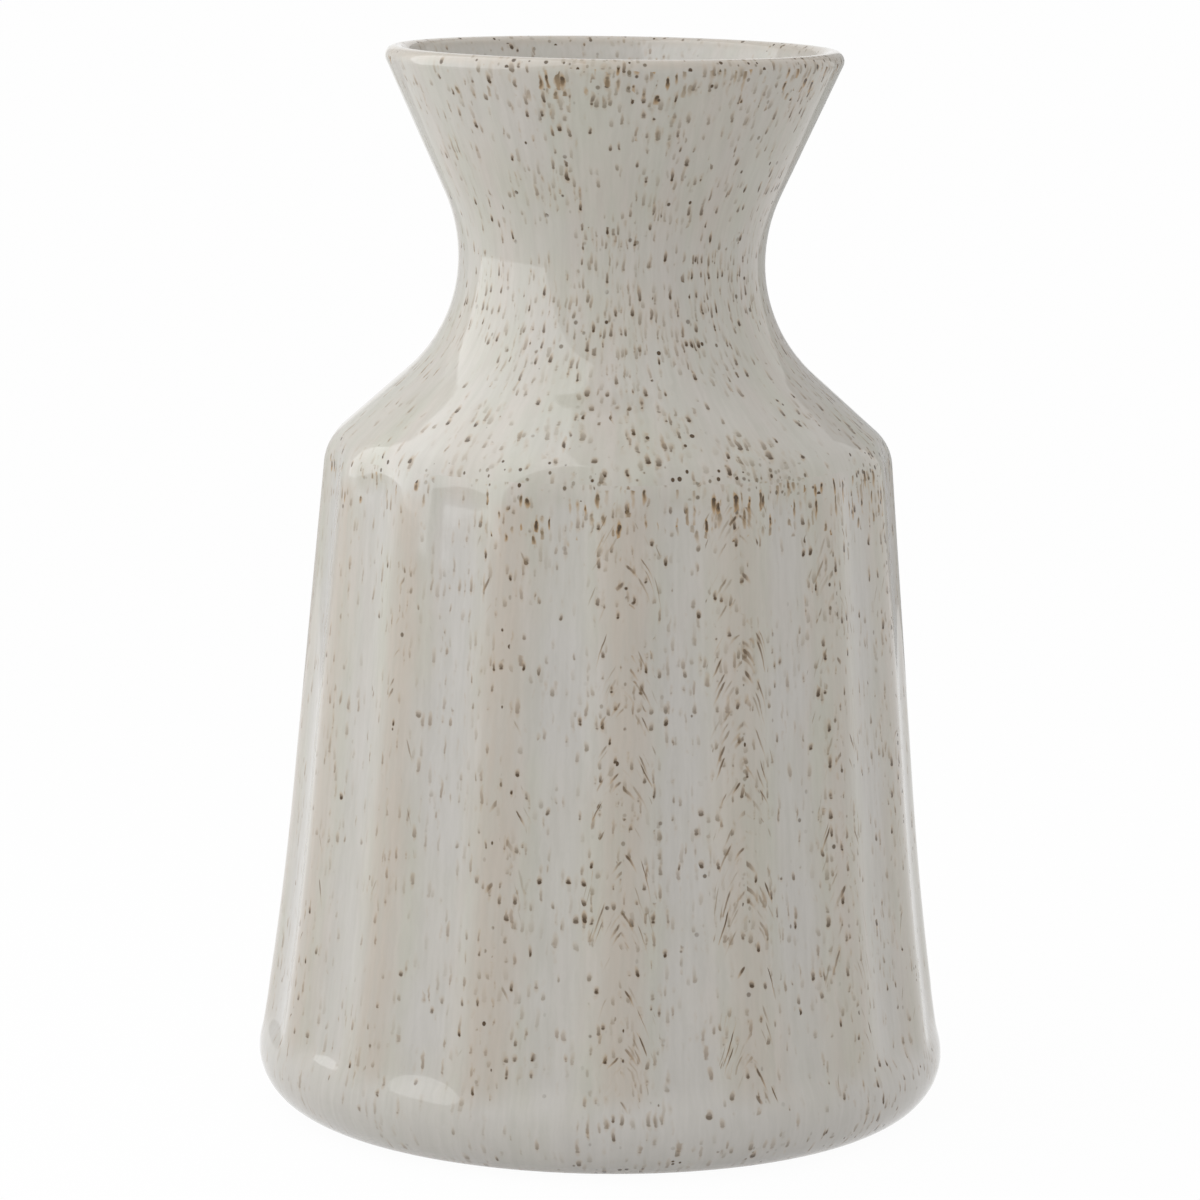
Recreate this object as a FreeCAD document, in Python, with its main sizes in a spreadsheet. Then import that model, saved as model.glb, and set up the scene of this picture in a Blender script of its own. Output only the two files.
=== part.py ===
import FreeCAD, Part

import math
import os
import re

import Sketcher
from FreeCAD import Vector

# A fluted bottle vase of glazed stoneware. It stands on the XY plane with its axis on Z.
# Lengths are millimetres, sizes that end in angle are degrees, and the radii of the outside
# are those of the glazed surface, taken at the crests of the ridges.
SIZES = {
    # Fluted wall: straight from the shoulder down, then swinging out like a bell
    "shoulder_radius": 66.5,
    "shoulder_height": 157.6,
    "wall_lean_angle": 5,
    "bell_height": 75,
    "bell_radius": 835,
    # Flutes: their depth and the rounding of the ridges between them, at the shoulder
    "flute_count": 16,
    "flute_depth": 1.8,
    "ridge_rounding": 17,
    # Foot: a plain round roll, a little proud of the ridges, in which the flutes run out
    "foot_rounding": 12.5,
    "foot_proud": 0.15,
    "foot_end_angle": 62,
    "runout_rounding": 5,
    # Shoulder cone, waist and flared neck
    "shoulder_angle": 48.3,
    "shoulder_rounding": 12,
    "waist_radius": 35.9,
    "waist_rounding": 35.4,
    "flare_rounding": 37.5,
    "flare_angle": 24.5,
    "rim_rise": 49.26,
    # Clay wall, floor and bare foot ring
    "wall_thickness": 4,
    "floor_thickness": 5.5,
    "floor_rounding": 14,
    "ring_width": 6.5,
    "ring_rounding": 1.2,
    "recess_depth": 2.5,
    # Glaze coats
    "glaze_thickness": 0.5,
    "glaze_line": 1,
    "base_glaze_margin": 2.5,
    # How far a cutting shape runs past the clay it cuts
    "overrun": 6,
}

# Where the fluted form hands over to the turned neck, as a share of the shoulder cone's rise
JOIN_SHARE = 0.6

# Stations of the fluted wall: shares of the bell's height, then of the wall above it
BELL_SHARES = (0.5, 1)
WALL_SHARES = (0.5,)

# Ends of an edge, as a sketch counts them
START, END, CENTRE = 1, 2, 3

# Formulas of the sizes above for the places that follow from them
WAIST_LEVEL = (
    "(shoulder_height + ((shoulder_radius - waist_radius) * cos(shoulder_angle)"
    " + waist_rounding * (1 - cos(shoulder_angle))) / sin(shoulder_angle))"
)
JOIN_LEVEL = (
    f"(shoulder_height + {JOIN_SHARE}"
    f" * ({WAIST_LEVEL} - waist_rounding * sin(shoulder_angle) - shoulder_height))"
)
RIM_LEVEL = f"({WAIST_LEVEL} + rim_rise)"
LIP_RADIUS = "(wall_thickness / 2 + glaze_thickness)"
LIP_LEVEL = f"({RIM_LEVEL} - {LIP_RADIUS})"
LIP_MIDDLE = (
    "(waist_radius + flare_rounding * (1 - cos(flare_angle))"
    f" + ({LIP_LEVEL} - {WAIST_LEVEL} - flare_rounding * sin(flare_angle)) * tan(flare_angle)"
    f" - {LIP_RADIUS} / cos(flare_angle))"
)
FLOOR_LEVEL = "(recess_depth + floor_thickness)"

# The wall's slope just above the foot, and the level where its line touches the foot's roll
FOOT_SLOPE = "(tan(wall_lean_angle) + (bell_height - foot_rounding) / bell_radius)"
TOUCH_LEVEL = f"(foot_rounding * (1 + {FOOT_SLOPE} / sqrt(1 + {FOOT_SLOPE} ^ 2)))"


def crest(height):
    """Formula for the radius of the ridge crests at a height."""
    straight = f"shoulder_radius + (shoulder_height - ({height})) * tan(wall_lean_angle)"
    return f"({straight} + max(0; bell_height - ({height})) ^ 2 / (2 * bell_radius))"


def valley(height):
    """Formula for the radius of the flute bottoms at a height."""
    return f"({crest(height)} * (1 - flute_depth / shoulder_radius))"


def cone(height, inset):
    """Formula for the radius of the shoulder cone at a height, the inset below its surface."""
    return (
        f"(shoulder_radius - ({height} - shoulder_height) * tan(shoulder_angle)"
        f" - ({inset}) / cos(shoulder_angle))"
    )


def foot_middle(inset):
    """Formula for the radius at which the foot's roll has its centre."""
    touch = f"foot_rounding / sqrt(1 + {FOOT_SLOPE} ^ 2)"
    return f"({crest(TOUCH_LEVEL)} + foot_proud - ({inset}) - {touch})"


def bind(formula):
    """Point every size named in a formula at its cell of the sheet."""
    return re.sub(r"[a-z]\w*", lambda m: f"Sizes.{m[0]}" if m[0] in SIZES else m[0], formula)


def toward(centre, radius, angle):
    """The point of a circle at an angle, in degrees from the sketch's first axis."""
    turn = math.radians(angle)
    return centre + Vector(math.cos(turn), math.sin(turn), 0) * radius


def bearing(start, end):
    """The direction from one point to another, in degrees from the sketch's first axis."""
    return math.degrees(math.atan2(end.y - start.y, end.x - start.x))


class Outline:
    """A closed sketch in a body, held by constraints that follow the sheet of sizes."""

    def __init__(self, body, name, plane, height="0"):
        self.sheet = body.Document.getObject("Sizes")
        self.sketch = body.newObject("Sketcher::SketchObject", name)
        support = [f for f in body.Origin.OriginFeatures if f.Role == plane]
        self.sketch.AttachmentSupport = [(support[0], "")]
        self.sketch.MapMode = "FlatFace"
        self.sketch.setExpression("AttachmentOffset.Base.z", bind(height))

    def size(self, formula):
        """Work out a formula as a number."""
        return float(self.sheet.evalExpression(bind(formula)))

    def point(self, across, up):
        """Work out a pair of formulas as a place in the sketch."""
        return Vector(self.size(across), self.size(up), 0)

    def line(self, start, end):
        """Draw a straight edge."""
        return self.sketch.addGeometry(Part.LineSegment(start, end))

    def arc(self, centre, start, end):
        """Draw an arc about a centre, anticlockwise from start to end."""
        circle = Part.Circle(centre, Vector(0, 0, 1), start.distanceToPoint(centre))
        first = math.radians(bearing(centre, start))
        last = math.radians(bearing(centre, end))
        return self.sketch.addGeometry(Part.ArcOfCircle(circle, first, last))

    def hold(self, kind, *places, size=None):
        """Add a constraint, bound to a formula where it has a size."""
        if size is None:
            self.sketch.addConstraint(Sketcher.Constraint(kind, *places))
            return
        number = self.size(size)
        if kind == "Angle":
            number = math.radians(number)
        index = self.sketch.addConstraint(Sketcher.Constraint(kind, *places, number))
        self.sketch.setExpression(f"Constraints[{index}]", bind(size))

    def pin(self, edge, end, across, up):
        """Hold a point of an edge at a place given by two formulas."""
        if across == "0":
            self.hold("PointOnObject", edge, end, -2)
        else:
            self.hold("DistanceX", -1, START, edge, end, size=across)
        if up == "0":
            self.hold("PointOnObject", edge, end, -1)
        else:
            self.hold("DistanceY", -1, START, edge, end, size=up)

    def mark(self, across, up):
        """Set a construction point at a place given by two formulas."""
        point = self.sketch.addGeometry(Part.Point(self.point(across, up)), True)
        self.pin(point, START, across, up)
        return point

    def chain(self, places):
        """Draw straight edges through pinned places, each a pair of formulas."""
        points = [self.point(*place) for place in places]
        edges = [self.line(*pair) for pair in zip(points, points[1:])]
        for edge, place in zip(edges, places):
            self.pin(edge, START, *place)
        self.pin(edges[-1], END, *places[-1])
        for edge, following in zip(edges, edges[1:]):
            self.hold("Coincident", edge, END, following, START)
        return edges

    def link(self, before, before_end, after, after_end, start, end):
        """Close a gap between two edges with a straight edge from start to end."""
        edge = self.line(start, end)
        self.hold("Coincident", before, before_end, edge, START)
        self.hold("Coincident", edge, END, after, after_end)


def revolve(body, kind, name, outline):
    """Turn an outline once round the axis, adding to the body or cutting into it."""
    before = body.Shape.Volume if body.Tip else 0
    turned = body.newObject(f"PartDesign::{kind}", name)
    turned.Profile = outline.sketch
    turned.ReferenceAxis = (outline.sketch, ["V_Axis"])
    turned.Angle = 360
    body.Document.recompute()
    if (turned.Shape.Volume > before) != (kind == "Revolution"):
        raise RuntimeError(f"{name} of {body.Name} changed the body the wrong way")
    return turned


def flute_section(body, name, height, inset):
    """Draw one flute between two ridge crests, as a level wedge of the wall."""
    outline = Outline(body, name, "XY_Plane", height)
    crest_length = f"{crest(height)} - ({inset})"
    valley_length = f"{valley(height)} - ({inset})"
    ridge_length = f"ridge_rounding * {crest(height)} / shoulder_radius - ({inset})"
    pitch = outline.size("360 / flute_count")
    outer = outline.size(crest_length)
    inner = outline.size(valley_length)
    ridge = outline.size(ridge_length)

    # The flute's own rounding, which touches both ridges and the flute bottom
    reach = outer - ridge
    lean = math.cos(math.radians(pitch / 2))
    hollow = ridge**2 - inner**2 - reach**2 + 2 * reach * inner * lean
    hollow /= 2 * (inner - reach * lean - ridge)

    axis = Vector(0, 0, 0)
    ridge_middle = toward(axis, reach, 0)
    next_middle = toward(axis, reach, pitch)
    flute_middle = toward(axis, inner + hollow, pitch / 2)
    turn = bearing(ridge_middle, flute_middle)
    crest_point = toward(axis, outer, 0)
    next_crest = toward(axis, outer, pitch)
    leave = toward(ridge_middle, ridge, turn)
    arrive = toward(next_middle, ridge, pitch - turn)

    side = outline.line(axis, crest_point)
    ridge_edge = outline.arc(ridge_middle, crest_point, leave)
    flute_edge = outline.arc(flute_middle, arrive, leave)
    next_edge = outline.arc(next_middle, arrive, next_crest)
    next_side = outline.line(axis, next_crest)
    bottom = outline.line(axis, toward(axis, inner, pitch / 2))
    outline.sketch.toggleConstruction(bottom)

    for spoke in (side, next_side, bottom):
        outline.hold("Coincident", spoke, START, -1, START)
    outline.hold("Horizontal", side)
    outline.hold("Distance", side, size=crest_length)
    outline.hold("Equal", side, next_side)
    outline.hold("Angle", side, START, next_side, START, size="360 / flute_count")
    outline.hold("Coincident", side, END, ridge_edge, START)
    outline.hold("Coincident", next_side, END, next_edge, END)
    outline.hold("PointOnObject", ridge_edge, CENTRE, side)
    outline.hold("PointOnObject", next_edge, CENTRE, next_side)
    outline.hold("Radius", ridge_edge, size=ridge_length)
    outline.hold("Equal", ridge_edge, next_edge)
    outline.hold("Tangent", ridge_edge, END, flute_edge, END)
    outline.hold("Tangent", flute_edge, START, next_edge, START)
    outline.hold("PointOnObject", bottom, END, flute_edge)
    outline.hold("PointOnObject", flute_edge, CENTRE, bottom)
    outline.hold("Distance", bottom, size=valley_length)
    return outline.sketch


def fluted_wall(body, inset):
    """Loft one flute up the wall and repeat it round the axis."""
    levels = [TOUCH_LEVEL]
    levels += [f"(bell_height * {share})" for share in BELL_SHARES]
    levels += [f"(bell_height + (shoulder_height - bell_height) * {share})" for share in WALL_SHARES]
    levels += [JOIN_LEVEL]
    sections = [
        flute_section(body, f"flute_section_{index}", level, inset)
        for index, level in enumerate(levels)
    ]
    body.Document.recompute()
    flute = body.newObject("PartDesign::AdditiveLoft", "flute")
    flute.Profile = sections[0]
    flute.Sections = sections[1:]
    body.Document.recompute()
    ring = body.newObject("PartDesign::PolarPattern", "flute_ring")
    upright = [f for f in body.Origin.OriginFeatures if f.Role == "Z_Axis"]
    ring.Originals = [flute]
    ring.Axis = (upright[0], [""])
    ring.Angle = 360
    ring.setExpression("Occurrences", bind("flute_count"))
    body.Tip = ring
    body.Document.recompute()


def shoulder(body, inset):
    """Cut the shoulder cone off the fluted wall and round its scalloped edge."""
    outline = Outline(body, "shoulder_outline", "XZ_Plane")
    outer = "(shoulder_radius + overrun)"
    lowest = (
        f"(shoulder_height - (overrun + ({inset}) / cos(shoulder_angle)) / tan(shoulder_angle))"
    )
    inner = cone(JOIN_LEVEL, inset)
    above = f"({JOIN_LEVEL} + overrun)"
    corners = [(inner, JOIN_LEVEL), (outer, lowest), (outer, above), (inner, above)]
    outline.chain(corners + corners[:1])
    cut = revolve(body, "Groove", "shoulder_cut", outline)
    join = outline.size(JOIN_LEVEL)
    lower = outline.size(lowest)
    scallops = [
        f"Edge{index}"
        for index, edge in enumerate(cut.Shape.Edges, start=1)
        if lower < edge.BoundBox.ZMin and edge.BoundBox.ZMax < join
    ]
    rounding = body.newObject("PartDesign::Fillet", "shoulder_rounding")
    rounding.Base = (cut, scallops)
    rounding.setExpression("Radius", bind(f"shoulder_rounding - ({inset})"))
    body.Document.recompute()


def foot(body, inset, glazed):
    """Turn the foot's roll with the floor inside it, and soften the ends of the flutes."""
    outline = Outline(body, "foot_outline", "XZ_Plane")
    bare = "glaze_line" if glazed else "0"
    end_across = f"({foot_middle(inset)} + foot_rounding * cos(foot_end_angle))"
    end_level = "(foot_rounding * (1 + sin(foot_end_angle)))"
    middle = outline.point(foot_middle(inset), "foot_rounding")
    first = outline.point(f"{foot_middle(inset)} + sqrt({bare} * (2 * foot_rounding - {bare}))", bare)
    last = outline.point(end_across, end_level)
    roll_edge = outline.arc(middle, first, last)
    outline.pin(roll_edge, CENTRE, foot_middle(inset), "foot_rounding")
    outline.hold("Radius", roll_edge, size="foot_rounding")

    if glazed:
        # Inside the coat the form stays within the clay of the floor and the foot ring
        ring = f"({foot_middle(inset)} - ring_width / 2)"
        places = [("0", end_level), ("0", FLOOR_LEVEL), (ring, FLOOR_LEVEL), (ring, bare)]
    else:
        ring = f"({foot_middle(inset)} - ring_width)"
        places = [("0", end_level), ("0", "recess_depth"), (ring, "recess_depth")]
    inside = outline.chain(places)
    top_edge = outline.line(last, outline.point(*places[0]))
    outline.hold("Horizontal", top_edge)
    outline.hold("Coincident", roll_edge, END, top_edge, START)
    outline.hold("Coincident", top_edge, END, inside[0], START)
    if glazed:
        base_edge = outline.line(outline.point(ring, bare), first)
        outline.hold("Coincident", inside[-1], END, base_edge, START)
        outline.hold("Coincident", base_edge, END, roll_edge, START)
    else:
        ring_middle = outline.point(f"{ring} + ring_rounding", "ring_rounding")
        side = toward(ring_middle, outline.size("ring_rounding"), 180)
        rest = toward(ring_middle, outline.size("ring_rounding"), 270)
        recess_edge = outline.line(outline.point(ring, "recess_depth"), side)
        ring_edge = outline.arc(ring_middle, side, rest)
        base_edge = outline.line(rest, first)
        outline.hold("Coincident", inside[-1], END, recess_edge, START)
        outline.hold("Vertical", recess_edge)
        outline.hold("Tangent", recess_edge, END, ring_edge, START)
        outline.hold("Radius", ring_edge, size="ring_rounding")
        outline.hold("Tangent", ring_edge, END, base_edge, START)
        outline.hold("Tangent", base_edge, END, roll_edge, START)
    outline.hold("Horizontal", base_edge)
    turned = revolve(body, "Revolution", "foot", outline)

    lowest = outline.size(TOUCH_LEVEL)
    scallops = [
        f"Edge{index}"
        for index, edge in enumerate(turned.Shape.Edges, start=1)
        if lowest < edge.BoundBox.ZMin and edge.BoundBox.ZMax < last.y + outline.size("foot_rounding")
    ]
    blend = body.newObject("PartDesign::Fillet", "runout_rounding")
    blend.Base = (turned, scallops)
    blend.setExpression("Radius", bind("runout_rounding"))
    body.Document.recompute()


def neck_edges(outline, cone_start, inset, outside):
    """Draw the shoulder cone, waist, flare and lip, and return the first edge and the last."""
    cone_turn = outline.size("shoulder_angle")
    flare_turn = outline.size("flare_angle")
    lip_length = f"{LIP_RADIUS} - ({inset})" if outside else f"({inset}) - {LIP_RADIUS}"
    waist = outline.size(f"waist_rounding + ({inset})")
    flare = outline.size(f"flare_rounding + ({inset})")
    lip = outline.size(lip_length)
    waist_middle = outline.point("waist_radius + waist_rounding", WAIST_LEVEL)
    flare_middle = outline.point("waist_radius + flare_rounding", WAIST_LEVEL)
    lip_middle = outline.point(LIP_MIDDLE, LIP_LEVEL)
    narrowest = toward(waist_middle, waist, 180)
    flare_start = toward(flare_middle, flare, 180 - flare_turn)
    flare_end = toward(lip_middle, lip, -flare_turn if outside else 180 - flare_turn)
    crown = toward(lip_middle, lip, 90)

    cone_edge = outline.line(cone_start, toward(waist_middle, waist, 180 + cone_turn))
    waist_edge = outline.arc(waist_middle, narrowest, toward(waist_middle, waist, 180 + cone_turn))
    flare_edge = outline.arc(flare_middle, flare_start, narrowest)
    mouth_edge = outline.line(flare_start, flare_end)
    lip_edge = outline.arc(lip_middle, *((flare_end, crown) if outside else (crown, flare_end)))
    lip_start, lip_end = (START, END) if outside else (END, START)
    outline.hold("Tangent", cone_edge, END, waist_edge, END)
    outline.pin(waist_edge, CENTRE, "waist_radius + waist_rounding", WAIST_LEVEL)
    outline.hold("Radius", waist_edge, size=f"waist_rounding + ({inset})")
    outline.hold("Horizontal", waist_edge, CENTRE, waist_edge, START)
    outline.hold("Tangent", waist_edge, START, flare_edge, END)
    outline.hold("Radius", flare_edge, size=f"flare_rounding + ({inset})")
    outline.hold("Tangent", flare_edge, START, mouth_edge, START)
    outline.hold("Tangent", mouth_edge, END, lip_edge, lip_start)
    outline.pin(lip_edge, CENTRE, LIP_MIDDLE, LIP_LEVEL)
    outline.hold("Radius", lip_edge, size=lip_length)
    outline.hold("Vertical", lip_edge, CENTRE, lip_edge, lip_end)
    return cone_edge, lip_edge, lip_end, crown


def neck(body, inset, top_places):
    """Turn the neck, from the shoulder cone up to the crown of the lip."""
    outline = Outline(body, "neck_outline", "XZ_Plane")
    join = (cone(JOIN_LEVEL, inset), JOIN_LEVEL)
    edges = neck_edges(outline, outline.point(*join), inset, True)
    cone_edge, lip_edge, lip_end, crown = edges
    inside = outline.chain(top_places + [("0", JOIN_LEVEL), join])
    outline.link(lip_edge, lip_end, inside[0], START, crown, outline.point(*top_places[0]))
    outline.hold("Coincident", inside[-1], END, cone_edge, START)
    revolve(body, "Revolution", "neck", outline)


def vase_form(doc, name, inset, glazed):
    """The filled outer form of the vase, the inset below the glazed surface."""
    body = doc.addObject("PartDesign::Body", name)
    fluted_wall(body, inset)
    shoulder(body, inset)
    foot(body, inset, glazed)
    if glazed:
        # The coat stops at the crown, so below it the form stays inside the clay
        neck(body, inset, [(LIP_MIDDLE, LIP_LEVEL), ("0", LIP_LEVEL)])
    else:
        neck(body, inset, [("0", f"({RIM_LEVEL} - ({inset}))")])
    return body


def hollow(doc, name, inset, ceiling):
    """The space inside the vase as a solid, the inset below the outer glazed surface."""
    body = doc.addObject("PartDesign::Body", name)
    outline = Outline(body, "hollow_outline", "XZ_Plane")
    floor = f"({FLOOR_LEVEL} + ({inset}) - wall_thickness - glaze_thickness)"
    bell_place = (f"({valley('bell_height')} - ({inset}))", "bell_height")
    wall_place = (f"({valley('shoulder_height')} - ({inset}))", "shoulder_height")
    join_place = (cone(JOIN_LEVEL, inset), JOIN_LEVEL)
    bell_point = outline.point(*bell_place)
    wall_point = outline.point(*wall_place)
    join_point = outline.point(*join_place)

    # The shoulder's rounding, from where the wall's line meets the cone's
    lean = bearing(bell_point, wall_point) - 90
    slant = outline.size("shoulder_angle")
    wall_normal = toward(Vector(0, 0, 0), 1, lean)
    cone_normal = toward(Vector(0, 0, 0), 1, slant)
    soft = outline.size("shoulder_rounding")
    along = (wall_point - join_point).dot(cone_normal) / math.sin(math.radians(slant - lean))
    meeting = toward(wall_point, along, lean - 90)
    soft_middle = meeting - (wall_normal + cone_normal) * (soft / (1 + wall_normal.dot(cone_normal)))

    # The floor's rounding, which touches the floor and the wall's line carried down
    curl = outline.size("floor_rounding")
    curl_level = outline.size(floor) + curl
    turn = math.radians(lean)
    wall_across = bell_point.x + (bell_point.y - curl_level) * math.tan(turn)
    curl_middle = Vector(wall_across - curl / math.cos(turn), curl_level, 0)
    touch = toward(curl_middle, curl, lean)
    floor_end = toward(curl_middle, curl, -90)

    floor_edge = outline.line(outline.point("0", floor), floor_end)
    curl_edge = outline.arc(curl_middle, floor_end, touch)
    wall_edge = outline.line(touch, toward(soft_middle, soft, lean))
    soft_edge = outline.arc(soft_middle, toward(soft_middle, soft, lean), toward(soft_middle, soft, slant))
    edges = neck_edges(outline, toward(soft_middle, soft, slant), inset, False)
    cone_edge, lip_edge, lip_end, crown = edges
    outline.hold("Horizontal", floor_edge)
    outline.hold("Tangent", floor_edge, END, curl_edge, START)
    outline.hold("Radius", curl_edge, size="floor_rounding")
    outline.hold("Tangent", curl_edge, END, wall_edge, START)
    outline.hold("PointOnObject", outline.mark(*bell_place), START, wall_edge)
    outline.hold("PointOnObject", outline.mark(*wall_place), START, wall_edge)
    outline.hold("Tangent", wall_edge, END, soft_edge, START)
    outline.hold("Radius", soft_edge, size="shoulder_rounding")
    outline.hold("Tangent", soft_edge, END, cone_edge, START)
    outline.hold("PointOnObject", outline.mark(*join_place), START, cone_edge)

    top_places = [(LIP_MIDDLE, ceiling), ("0", ceiling), ("0", floor)]
    inside = outline.chain(top_places)
    outline.link(lip_edge, lip_end, inside[0], START, crown, outline.point(*top_places[0]))
    outline.hold("Coincident", inside[-1], END, floor_edge, START)
    revolve(body, "Revolution", "turned_hollow", outline)
    return body


def base_coat(doc, name):
    """The coat of glaze in the recess, inside the bare foot ring, with a rounded edge."""
    body = doc.addObject("PartDesign::Body", name)
    outline = Outline(body, "coat_outline", "XZ_Plane")
    edge = f"({foot_middle('glaze_thickness')} - ring_width - base_glaze_margin)"
    lowest = "(recess_depth - glaze_thickness)"
    flat = f"({edge} - glaze_thickness)"
    inside = outline.chain([(edge, "recess_depth"), ("0", "recess_depth"), ("0", lowest), (flat, lowest)])
    middle = outline.point(flat, "recess_depth")
    round_edge = outline.arc(middle, outline.point(flat, lowest), outline.point(edge, "recess_depth"))
    outline.hold("Tangent", inside[-1], END, round_edge, START)
    outline.hold("Coincident", round_edge, END, inside[0], START)
    revolve(body, "Revolution", "turned_coat", outline)
    return body


def cut(doc, name, base, tool):
    """The base form with the tool form taken out of it."""
    piece = doc.addObject("Part::Cut", name)
    piece.Base = base
    piece.Tool = tool
    return piece


def size_sheet(doc):
    """Enter the sizes in the document's sheet, one row each, with their names as aliases."""
    sheet = doc.addObject("Spreadsheet::Sheet", "Sizes")
    for row, (name, size) in enumerate(SIZES.items(), start=1):
        sheet.set(f"A{row}", name)
        sheet.set(f"B{row}", str(size))
        sheet.setAlias(f"B{row}", name)
    doc.recompute()


def bottle_vase(doc):
    """Build the vase: the clay body and the three coats of glaze fired onto it."""
    size_sheet(doc)
    glaze_form = vase_form(doc, "glaze_form", "0", True)
    clay_form = vase_form(doc, "clay_form", "glaze_thickness", False)
    clay_hollow = hollow(doc, "clay_hollow", "wall_thickness + glaze_thickness", RIM_LEVEL)
    glaze_hollow = hollow(
        doc, "glaze_hollow", "wall_thickness + 2 * glaze_thickness", f"({RIM_LEVEL} + overrun)"
    )
    return [
        cut(doc, "clay_body", clay_form, clay_hollow),
        cut(doc, "outer_glaze", glaze_form, clay_form),
        cut(doc, "liner_glaze", clay_hollow, glaze_hollow),
        base_coat(doc, "base_glaze"),
    ]


def check(doc, pieces):
    """Stop if any object failed or any piece isn't one sound solid."""
    for item in doc.Objects:
        if {"Invalid", "Error"} & set(item.State):
            raise RuntimeError(f"{item.Name} failed: {item.State}")
    for piece in pieces:
        shape = piece.Shape
        if shape.isNull() or not shape.isValid() or len(shape.Solids) != 1:
            raise RuntimeError(f"{piece.Label} isn't one sound solid")


document = FreeCAD.newDocument("bottle_vase")
vase = bottle_vase(document)
document.recompute()
check(document, vase)
os.makedirs("parts", exist_ok=True)
for part in vase:
    part.Shape.exportStep(f"parts/{part.Label}.step")
    print(f"{part.Label}: {part.Shape.Volume / 1000:.1f} cubic centimetres")
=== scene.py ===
"""The looks of a fluted bottle vase of speckled, glazed stoneware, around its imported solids."""

import logging
import math
from dataclasses import dataclass
from functools import reduce

import bmesh
import bpy
from mathutils import Matrix, Vector


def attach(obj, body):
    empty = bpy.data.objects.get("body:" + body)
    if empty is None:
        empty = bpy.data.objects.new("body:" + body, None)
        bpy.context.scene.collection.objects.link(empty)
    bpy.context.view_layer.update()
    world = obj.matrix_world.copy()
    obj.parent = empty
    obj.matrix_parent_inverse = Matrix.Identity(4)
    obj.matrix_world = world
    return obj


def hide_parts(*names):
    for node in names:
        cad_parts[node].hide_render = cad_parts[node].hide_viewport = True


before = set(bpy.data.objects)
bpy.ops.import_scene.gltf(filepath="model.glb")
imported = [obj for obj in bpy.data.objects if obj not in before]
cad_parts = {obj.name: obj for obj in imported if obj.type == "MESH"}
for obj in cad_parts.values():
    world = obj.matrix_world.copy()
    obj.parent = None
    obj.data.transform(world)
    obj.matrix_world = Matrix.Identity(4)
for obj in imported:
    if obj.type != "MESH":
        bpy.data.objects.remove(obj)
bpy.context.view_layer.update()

LOG = logging.getLogger("bottle_vase")
MM = 0.001
HAIR = MM / 100
FULL_TURN = 2 * math.pi
SHARP = math.radians(50)
LEVEL = (1.0, 1.0, 0.0)
WHITE = (1.0, 1.0, 1.0, 1.0)
Piece = bpy.types.Object
Socket = bpy.types.NodeSocket
Feed = Socket | float | tuple
Point = tuple[float, float, float]
Colour = tuple[float, float, float, float]


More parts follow.
